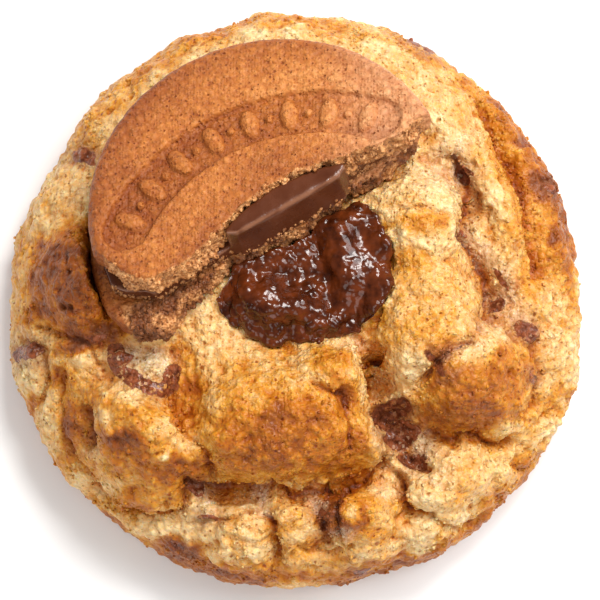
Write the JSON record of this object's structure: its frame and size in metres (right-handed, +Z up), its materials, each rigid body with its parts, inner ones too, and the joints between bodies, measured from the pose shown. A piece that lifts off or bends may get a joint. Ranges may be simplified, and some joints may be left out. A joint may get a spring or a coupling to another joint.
{
  "type": "chunky cookie with half a chocolate sandwich biscuit",
  "caption": "A thick domed baked cookie with chocolate chunks, with a broken chocolate-filled sandwich biscuit pressed in its top and melted chocolate below it",
  "frame": {"origin": "middle of the outline seen from above, at the level of the flat base", "axes": "+Z up, the way the cookie lies on a table; +X to the right and +Y away from the eye in the picture, where the biscuit's round edge points away to the left"},
  "size_m": [0.0802, 0.0816, 0.0314],
  "materials": {
    "dough": "baked crumbly dough, pale golden with browned lumps and chocolate chunks",
    "biscuit": "baked biscuit, even matt reddish brown",
    "filling": "set milk chocolate, satin",
    "chocolate_sauce": "melted dark chocolate, wet and glossy"
  },
  "bodies": {
    "root": {"dough": "dough", "chocolate_sauce": "chocolate_sauce", "biscuit_top": "biscuit", "filling": "filling", "biscuit_bottom": "biscuit"}
  },
  "joints": []
}
